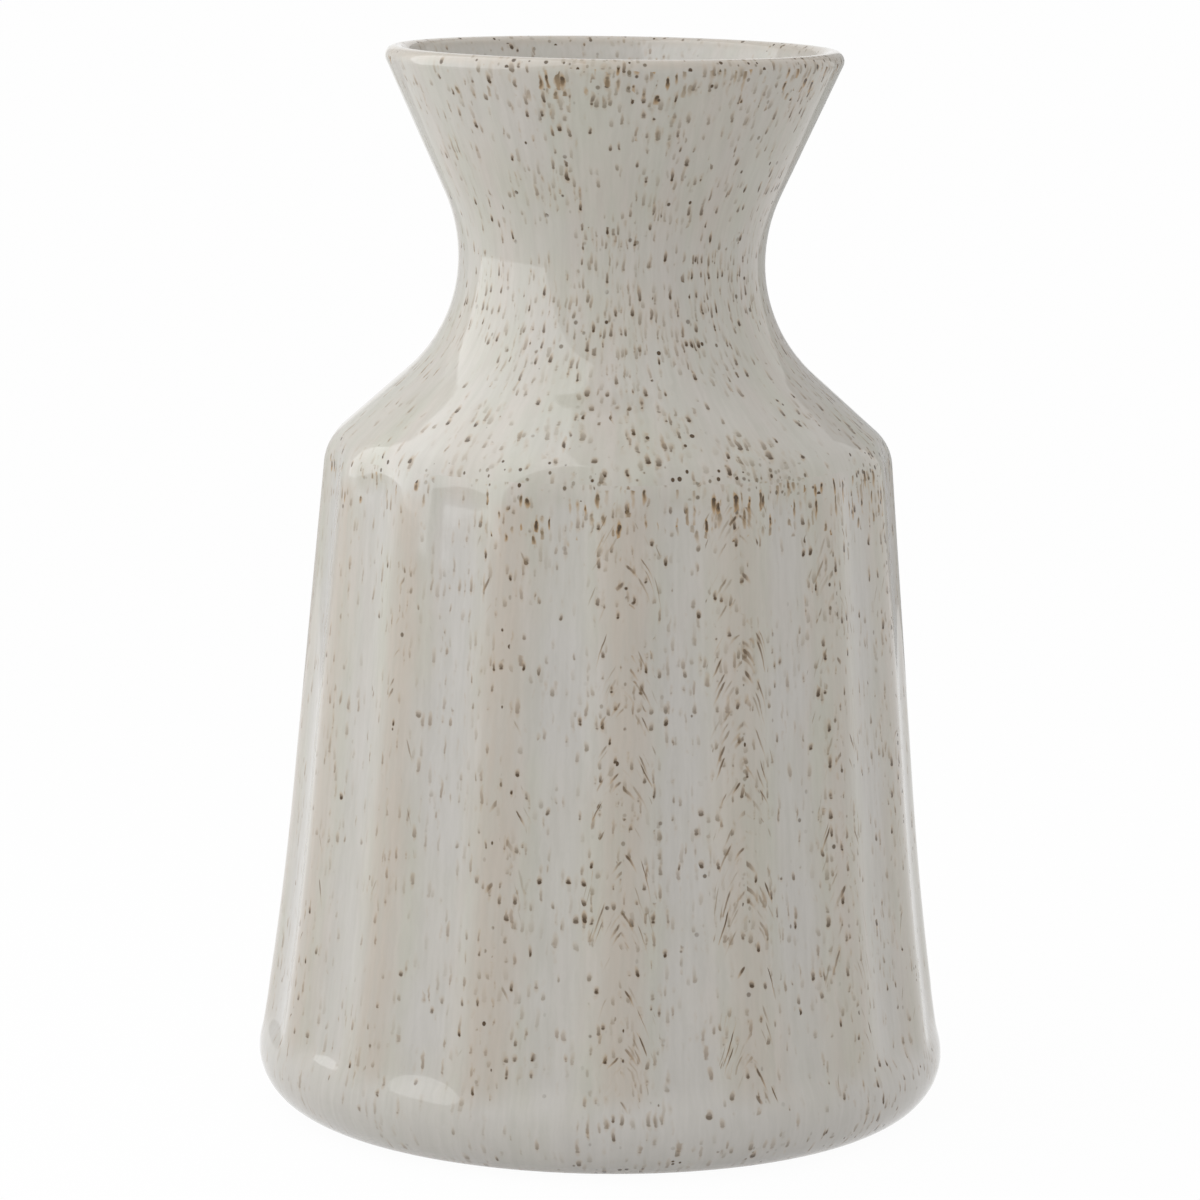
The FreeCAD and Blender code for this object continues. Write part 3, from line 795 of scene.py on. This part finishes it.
class Glaze(Material):
    """Glossy off-white glaze with iron specks, on one coat: plain here, as on the base."""

    name = "speckled_glaze_base"

    def __init__(self, sizes: VaseSizes, recipe: GlazeRecipe) -> None:
        """Start the material with what its zones are made from.

        Args:
            sizes: The vase's sizes.
            recipe: What the glaze is made of.
        """
        super().__init__(self.name)
        self.sizes, self.recipe = sizes, recipe
        self.edge, self.rim = sizes.shoulder_height, sizes.rim_level
        self.place = self.add("ShaderNodeTexCoord").outputs["Object"]
        self.x, self.y, self.level = self.split(self.place)
        self.flow = self.ragged()
        self.patches = self.span(self.noise(self.place, 60.0, 4.0), 0.36, 0.60, 0.28, 1.1)

    def run(self) -> Socket:
        """Unroll the surface into metres, with the way that the glaze ran along Z."""
        return self.place

    def zones(self) -> Zones:
        """Work out the thin glaze with any painted shade, the gathered glaze with any painted light, and each
        scatter's density and place.
        """
        return 0.0, 0.4, [(self.recipe.dots, self.times(self.patches, 0.2), self.flow)]

    def ragged(self) -> Socket:
        """Shift the way that the glaze ran a little all over, so that no two specks are alike.

        Returns:
            The place along that way.
        """
        shift = self.add("ShaderNodeTexNoise", Vector=self.place, Scale=330.0, Detail=2.0)
        centred = self.vector("SUBTRACT", shift.outputs["Color"], (0.5, 0.5, 0.5))
        return self.vector("MULTIPLY_ADD", centred, (self.recipe.raggedness,) * 3, self.run())

    def lip(self) -> Socket:
        """Find the lip, which has little glaze."""
        return self.span(self.level, self.rim - 3.0 * MM, self.rim - 0.8 * MM)

    def build(self) -> bpy.types.Material:
        """Lay the scatters over the ground and join them to the shader.

        Returns:
            The material.
        """
        recipe = self.recipe
        # On the outer glaze, the zones' thin-glaze share also carries painted ridge shade, and their gathered
        # share carries painted light on the foot's roll.
        thin, pooled_and_painted_light, scatters = self.zones()
        ground = self.add(
            "ShaderNodeGroup", node_tree=recipe.ground, Flow=self.flow, Place=self.place, Thin=thin,
            Pooled=pooled_and_painted_light, White=recipe.white, Grey_Green=recipe.grey_green, Pink=recipe.pink,
            Thin_Colour=recipe.thin,
        ).outputs
        colour, dark = ground["Color"], 0.0
        for layer, density, path in scatters:
            colour, mark = self.scatter(layer, density, path, colour)
            dark = self.most(dark, mark)
        height = self.line(dark, -recipe.speck_sink, ground["Height"])
        bump = self.add("ShaderNodeBump", Strength=1.0, Distance=recipe.bump_height, Height=height)
        rough = self.line(dark, recipe.speck_roughness, recipe.roughness)
        look = {"Base_Color": colour, "Roughness": rough, "Normal": bump.outputs[0]}
        self.set(self.shader, IOR=recipe.refraction, **look)
        return self.data

    def scatter(
        self, layer: SpeckLayer, density: Feed, path: Socket, colour: Socket
    ) -> tuple[Socket, Socket]:
        """Lay one scatter of specks over a colour.

        Args:
            layer: The specks.
            density: What share of the cells has a speck.
            path: The place in metres, with the way that the specks ran along Z.
            colour: The colour under them.

        Returns:
            The new colour, and how dark the specks are.
        """
        recipe = self.recipe
        scale = (1 / layer.across, 1 / layer.across, 1 / layer.along)
        cells = self.vector("MULTIPLY_ADD", path, scale, (layer.seed, layer.seed, layer.seed))
        specks = self.add(
            "ShaderNodeGroup", node_tree=recipe.specks, Place=cells, Density=density,
            Width=layer.width, Length=layer.length, Head=layer.head,
        ).outputs
        hue = self.blend(self.span(specks["Tone"], 0.3, 0.8), recipe.olive, recipe.iron)
        stained = self.blend(self.times(specks["Halo"], layer.stain), colour, recipe.tan)
        mark = self.times(specks["Speck"], layer.strength)
        mark.node.use_clamp = True
        return self.blend(mark, stained, hue), mark


class InnerGlaze(Glaze):
    """The glaze inside: a few faint streaks, and dots on the lip."""

    name = "speckled_glaze_inside"
    reach = 50 * MM

    def run(self) -> Socket:
        """Unroll the inner surface onto a tube."""
        run = self.add("ShaderNodeAttribute", attribute_name="flow").outputs["Vector"]
        return self.vector("MULTIPLY", run, (self.reach, self.reach, 1.0))

    def zones(self) -> Zones:
        """Make the glaze thin on the lip and put the specks there and in patches.

        Returns:
            What Glaze.zones returns.
        """
        patches, lip = self.patches, self.lip()
        dots = self.line(lip, 0.3, self.times(patches, 0.06))
        return self.times(lip, 0.7), 0.3, [
            (self.recipe.faint, self.times(patches, 0.6), self.flow),
            (self.recipe.streaks, self.times(patches, 0.3), self.flow),
            (self.recipe.dots, dots, self.place),
        ]


class OuterGlaze(Glaze):
    """The glaze outside: streaks on the neck, drips under the edges, and ticks along the ridges."""

    name = "speckled_glaze_outside"
    neck_reach = 46 * MM
    wall_reach = 70 * MM
    drip_shift = 8 * MM
    tick_curl = 3 * MM
    tick_slope = 0.7
    ridge_stride = 7.31
    flank_stride = 3.17

    def __init__(self, sizes: VaseSizes, recipe: GlazeRecipe) -> None:
        """Work out where each place lies among the ridges.

        Args:
            sizes: The vase's sizes.
            recipe: What the glaze is made of.
        """
        super().__init__(sizes, recipe)
        self.turns = self.calc("DIVIDE", self.calc("ARCTAN2", self.y, self.x), sizes.pitch)
        self.ridge = self.calc("ROUND", self.turns)
        self.off = self.calc("ABSOLUTE", self.calc("SUBTRACT", self.turns, self.ridge))
        radius = self.vector("LENGTH", self.vector("MULTIPLY", self.place, LEVEL))
        self.aside = self.times(self.off, sizes.pitch, radius)
        self.wall = self.span(self.level, self.edge - 4 * MM, self.edge - 8 * MM)
        self.fluted = self.times(self.wall, self.span(self.level, 15 * MM, 23 * MM))
        self.sparse = self.times(self.span(self.x, -50 * MM, -5 * MM, 0.22, 1.0), self.patches)

    def run(self) -> Socket:
        """Unroll the outer surface onto two tubes, one for the wall and one for the neck.

        Returns:
            What Glaze.run returns.
        """
        run = self.add("ShaderNodeAttribute", attribute_name="flow").outputs["Vector"]
        above = self.calc("GREATER_THAN", self.level, self.edge - 1 * MM)
        reach = self.line(above, self.neck_reach - self.wall_reach, self.wall_reach)
        return self.vector("MULTIPLY", run, self.join(reach, reach, 1.0))

    def zones(self) -> Zones:
        """Thin the glaze on crests, lip and foot, pool it in flutes, paint shade on crests and light on the
        roll.

        Returns:
            What Glaze.zones returns.
        """
        recipe = self.recipe
        shifted = self.line(self.noise(self.place, 85.0), 0.14, self.off)
        # Painted shade and thin glaze: the crests get the warmer, darker thin-glaze colour, laid on more
        # strongly towards the lit left side and faintly on the right, as shade on the ridges.
        lit_side_ridge_shade = self.span(self.x, -15 * MM, 55 * MM, 1.25, 0.45)
        crest = self.times(self.span(shifted, 0.32, 0.13, 0.0, 0.75), self.fluted, lit_side_ridge_shade)
        foot = self.span(self.level, 3.2 * MM, 1.4 * MM)
        valley = self.times(self.span(self.off, 0.22, 0.42), self.wall)
        # Painted light: the foot's roll and the flute run-outs are whitened, standing in for the brighter
        # light on the foot.
        roll = self.span(self.level, 24 * MM, 14 * MM)
        thin = self.most(self.times(self.lip(), 0.8), crest, foot)
        return thin, self.times(self.most(valley, roll), 0.6), [
            (recipe.faint, self.times(self.patches, 0.75), self.flow),
            (recipe.streaks, self.streak_density(), self.flow),
            (recipe.drips, self.drip_density(), self.hanging()),
            (recipe.ticks, self.tick_density(), self.slanting()),
            (recipe.dots, self.dot_density(), self.place),
        ]

    def hanging(self) -> Socket:
        """Turn the flow upside down and shift it slowly along, so that drips hang at uneven heights."""
        shift = self.join(0.0, 0.0, self.times(self.noise(self.place, 70.0), self.drip_shift))
        return self.vector("MULTIPLY_ADD", self.flow, (1.0, 1.0, -1.0), shift)

    def slanting(self) -> Socket:
        """Lead ticks from the crests down both flanks, as the glaze crept into the flutes.

        Returns:
            The place in metres, with the way from the crest along Z.
        """
        curve = self.line(self.aside, 1 / (2 * self.tick_curl), self.tick_slope)
        lean = self.span(self.noise(self.place, 28.0), 0.35, 0.65, 0.75, 1.3)
        run = self.split(self.flow)[2]
        slide = self.line(self.times(curve, lean), self.aside, run)
        side = self.times(self.calc("GREATER_THAN", self.turns, self.ridge), self.flank_stride)
        flank = self.line(self.ridge, self.ridge_stride, side)
        return self.join(slide, self.times(flank, self.recipe.ticks.across), self.aside)

    def band(self, base: float, bounds: tuple[float, ...], share: float, rest: float = 0.0) -> Socket:
        """Fill a band that starts, is full, thins out and ends at bounds in millimetres from a base."""
        low, full, thinning, end = (base + bound * MM for bound in bounds)
        return self.times(self.span(self.level, low, full), self.span(self.level, end, thinning, rest, share))

    def streak_density(self) -> Socket:
        """Put most of the downward streaks on the neck and the fewest in the flutes."""
        neck = self.span(self.level, self.edge - 5 * MM, self.edge, 0.0, 1.05)
        return self.times(self.most(neck, self.span(self.off, 0.45, 0.2, 0.32, 0.7)), self.sparse)

    def drip_density(self) -> Socket:
        """Put the drips in a band under the shoulder's edge and one under the lip."""
        bands = self.band(self.edge, (-16, -9, -3, -1), 0.95), self.band(self.rim, (-11, -6, -3, -1.5), 0.9)
        return self.times(self.calc("ADD", *bands), self.sparse, 1.3)

    def tick_density(self) -> Socket:
        """Put the ticks along the ridges, most of them on the right of the middle."""
        sides = self.span(self.x, -32 * MM, 0.0, 0.12, 1.0), self.span(self.x, 35 * MM, 60 * MM, 1.0, 0.5)
        return self.times(self.span(self.aside, 9 * MM, 5.5 * MM, 0, 0.8), *sides, self.fluted, self.patches)

    def dot_density(self) -> Socket:
        """Put most of the round dots on the edges, some on the crests and a few elsewhere.

        Returns:
            The share of cells with a dot.
        """
        shoulder = self.band(self.edge, (-6, -3.5, 0, 5), 0.85, 0.1)
        lip = self.span(self.level, self.rim - 3.0 * MM, self.rim - 1.4 * MM, 0.0, 0.85)
        crest = self.times(self.span(self.off, 0.08, 0.02, 0.0, 0.35), self.fluted)
        foot = self.span(self.level, 9 * MM, 3 * MM, 0.05, 0.4)
        return self.times(self.most(shoulder, lip, crest, foot), self.sparse)


class BareClay(Material):
    """Unglazed fired stoneware, matt and fine-grained, which shows only on the foot ring."""

    pale = (0.36, 0.27, 0.19, 1.0)
    toasted = (0.22, 0.145, 0.09, 1.0)
    grit = (0.07, 0.045, 0.03, 1.0)
    grit_share = 0.12
    bump_height = 0.08 * MM

    def __init__(self) -> None:
        """Build the material."""
        super().__init__("bare_stoneware")
        place = self.add("ShaderNodeTexCoord").outputs["Object"]
        grain = self.noise(place, 1800.0, 4.0)
        cloud = self.span(self.noise(place, 60.0), 0.3, 0.7)
        cells = self.add("ShaderNodeTexVoronoi", Vector=place, Scale=900.0).outputs
        few = self.calc("LESS_THAN", self.split(cells["Color"])[0], self.grit_share)
        grit = self.times(self.span(cells["Distance"], 0.35, 0.15), few, 0.8)
        colour = self.blend(grit, self.blend(cloud, self.pale, self.toasted), self.grit)
        shade = self.span(grain, 0.25, 0.75, 0.86, 1.08)
        colour = self.blend(1.0, colour, self.join(shade, shade, shade), "MULTIPLY")
        bump = self.add("ShaderNodeBump", Strength=0.6, Distance=self.bump_height, Height=grain)
        rough = self.span(grain, 0.2, 0.8, 0.92, 0.78)
        self.set(self.shader, Base_Color=colour, Roughness=rough, Normal=bump.outputs[0])


@dataclass(frozen=True)
class Studio:
    """A pale floor, a softbox on the left, a card on each side, soft light and the camera."""

    softbox_middle: Point = (-0.246, -0.065, 0.435)
    softbox_facing: Point = (0.90, 0.0, -0.43)
    softbox_width: float = 0.483
    softbox_height: float = 0.651
    softbox_radiance: float = 1.06
    softbox_tint: Point = (0.94, 0.97, 1.0)
    sheen_radiance: float = 0.45
    sheen_gap: float = 0.01
    card_middle: Point = (0.52, 0.75, 0.25)
    card_width: float = 0.85
    card_height: float = 1.3
    card_turn: float = math.radians(-30)
    card_grey: float = 0.64
    card_pale: float = 0.88
    fill: float = 0.825
    camera_distance: float = 1.150
    camera_level: float = 0.3111
    camera_bearing: float = math.radians(3.3)
    camera_pitch: float = 0.1647
    camera_roll: float = 0.0148
    focal_pixels: float = 4932.8
    image_pixels: int = 1200
    centre_shift: float = 6.75
    sensor: float = 36.0
    floor_radius: float = 30.0
    floor_tone: float = 0.8
    floor_glow: float = 0.97

    def build(self) -> None:
        """Set up the floor, the lamps, the cards, the world and the camera."""
        self.floor()
        self.softbox("softbox", self.softbox_radiance, 0.0)
        self.softbox("softbox_sheen", self.sheen_radiance, self.sheen_gap).visible_diffuse = False
        self.card("grey_card", 1, self.card_grey)
        self.card("pale_card", -1, self.card_pale)
        self.world()
        self.camera()

    def camera(self) -> None:
        """Place the camera where the photograph was taken from."""
        lens = bpy.data.cameras.new("camera")
        lens.sensor_width = self.sensor
        lens.lens = self.focal_pixels / self.image_pixels * self.sensor
        lens.shift_x = -self.centre_shift / self.image_pixels
        camera = bpy.data.objects.new("camera", lens)
        camera.matrix_world = (
            Matrix.Rotation(-self.camera_bearing, 4, "Z")
            @ Matrix.Translation((0.0, -self.camera_distance, self.camera_level))
            @ Matrix.Rotation(math.pi / 2 - self.camera_pitch, 4, "X")
            @ Matrix.Rotation(self.camera_roll, 4, "Z")
        )
        bpy.context.scene.collection.objects.link(camera)
        bpy.context.scene.camera = camera

    def softbox(self, name: str, radiance: float, ahead: float) -> Piece:
        """Hang a softbox on the left, leaning over the vase.

        Args:
            name: The lamp's name.
            radiance: How bright its face is.
            ahead: How far it hangs before the softbox's own place.

        Returns:
            The lamp's object.
        """
        lamp = bpy.data.lights.new(name, "AREA")
        lamp.color = self.softbox_tint
        lamp.shape = "RECTANGLE"
        lamp.size = self.softbox_width
        lamp.size_y = self.softbox_height
        lamp.energy = radiance * math.pi * self.softbox_width * self.softbox_height
        holder = bpy.data.objects.new(name, lamp)
        facing = Vector(self.softbox_facing).normalized()
        side = Vector((0.0, 1.0, 0.0))
        turn = Matrix((side, side.cross(facing), -facing)).transposed()
        place = Vector(self.softbox_middle) + facing * ahead
        holder.matrix_world = Matrix.Translation(place) @ turn.to_4x4()
        holder.visible_camera = False
        bpy.context.scene.collection.objects.link(holder)
        return holder

    def card(self, name: str, side: int, tone: float) -> None:
        """Stand a card behind the vase on one side, whose reflection keeps the outline there.

        Args:
            name: The card's name.
            side: 1 for the right and -1 for the left.
            tone: How pale it is.
        """
        bpy.ops.object.select_all(action="DESELECT")
        bpy.ops.mesh.primitive_plane_add(size=1.0)
        card = bpy.context.object
        card.name = name
        across, behind, level = self.card_middle
        bpy.ops.object.mode_set(mode="EDIT")
        bpy.ops.transform.resize(value=(self.card_width, self.card_height, 1.0))
        bpy.ops.transform.rotate(value=math.radians(90), orient_axis="X")
        bpy.ops.transform.rotate(value=self.card_turn * side, orient_axis="Z")
        bpy.ops.transform.translate(value=(across * side, behind, level))
        bpy.ops.object.mode_set(mode="OBJECT")
        paper = Material(name)
        paper.set(paper.shader, Base_Color=(tone, tone, tone, 1.0), Roughness=1.0)
        card.data.materials.append(paper.data)
        card.visible_camera = card.visible_diffuse = card.visible_shadow = False

    def world(self) -> None:
        """Light the vase softly from all round, with a white background for the camera."""
        world = bpy.data.worlds.new("studio")
        bpy.context.scene.world = world
        world.use_nodes = True
        world.node_tree.nodes.clear()
        wiring = Wiring(world.node_tree)
        level = wiring.span(wiring.backdrop(), 0.0, 1.0, self.fill, 1.0)
        background = wiring.add("ShaderNodeBackground", WHITE, level)
        wiring.add("ShaderNodeOutputWorld", background.outputs[0])

    def floor(self) -> None:
        """Lay a plain pale floor under the vase, which shows white and keeps the vase's shadow."""
        bpy.ops.object.select_all(action="DESELECT")
        bpy.ops.mesh.primitive_circle_add(vertices=64, radius=self.floor_radius, fill_type="NGON")
        floor = bpy.context.object
        floor.name = "floor"
        tone = self.floor_tone
        paint = Material("pale_floor")
        paint.set(paint.shader, Base_Color=(tone, tone, tone, 1.0), Roughness=0.9)
        glow = paint.add("ShaderNodeEmission", WHITE).outputs[0]
        share = paint.times(paint.backdrop(), self.floor_glow)
        mix = paint.add("ShaderNodeMixShader", share, paint.shader.outputs[0], glow)
        paint.set(paint.tree.nodes["Material Output"], Surface=mix.outputs[0])
        floor.data.materials.append(paint.data)


def main() -> None:
    """Build the vase's coats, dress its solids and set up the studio."""
    logging.basicConfig(level=logging.INFO, format="%(name)s: %(message)s")
    bpy.context.scene.view_settings.view_transform = "Standard"
    sizes = VaseSizes()
    recipe = GlazeRecipe(SpeckGroup().tree, GroundGroup().tree)
    coats = (
        (OuterCoat(sizes), "outer_glaze", OuterGlaze),
        (LinerCoat(sizes), "liner_glaze", InnerGlaze),
    )
    for builder, node, kind in coats:
        coat = builder.build()
        coat.data.materials.append(kind(sizes, recipe).build())
        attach(coat, "root")
        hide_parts(node)
        LOG.info("%s: %d faces", coat.name, len(coat.data.polygons))
    for node, material in (("clay_body", BareClay().data), ("base_glaze", Glaze(sizes, recipe).build())):
        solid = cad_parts[node]
        solid.data.materials.clear()
        solid.data.materials.append(material)
        LOG.info("%s: dressed in %s", node, material.name)
    Studio().build()


if __name__ == "__main__":
    main()
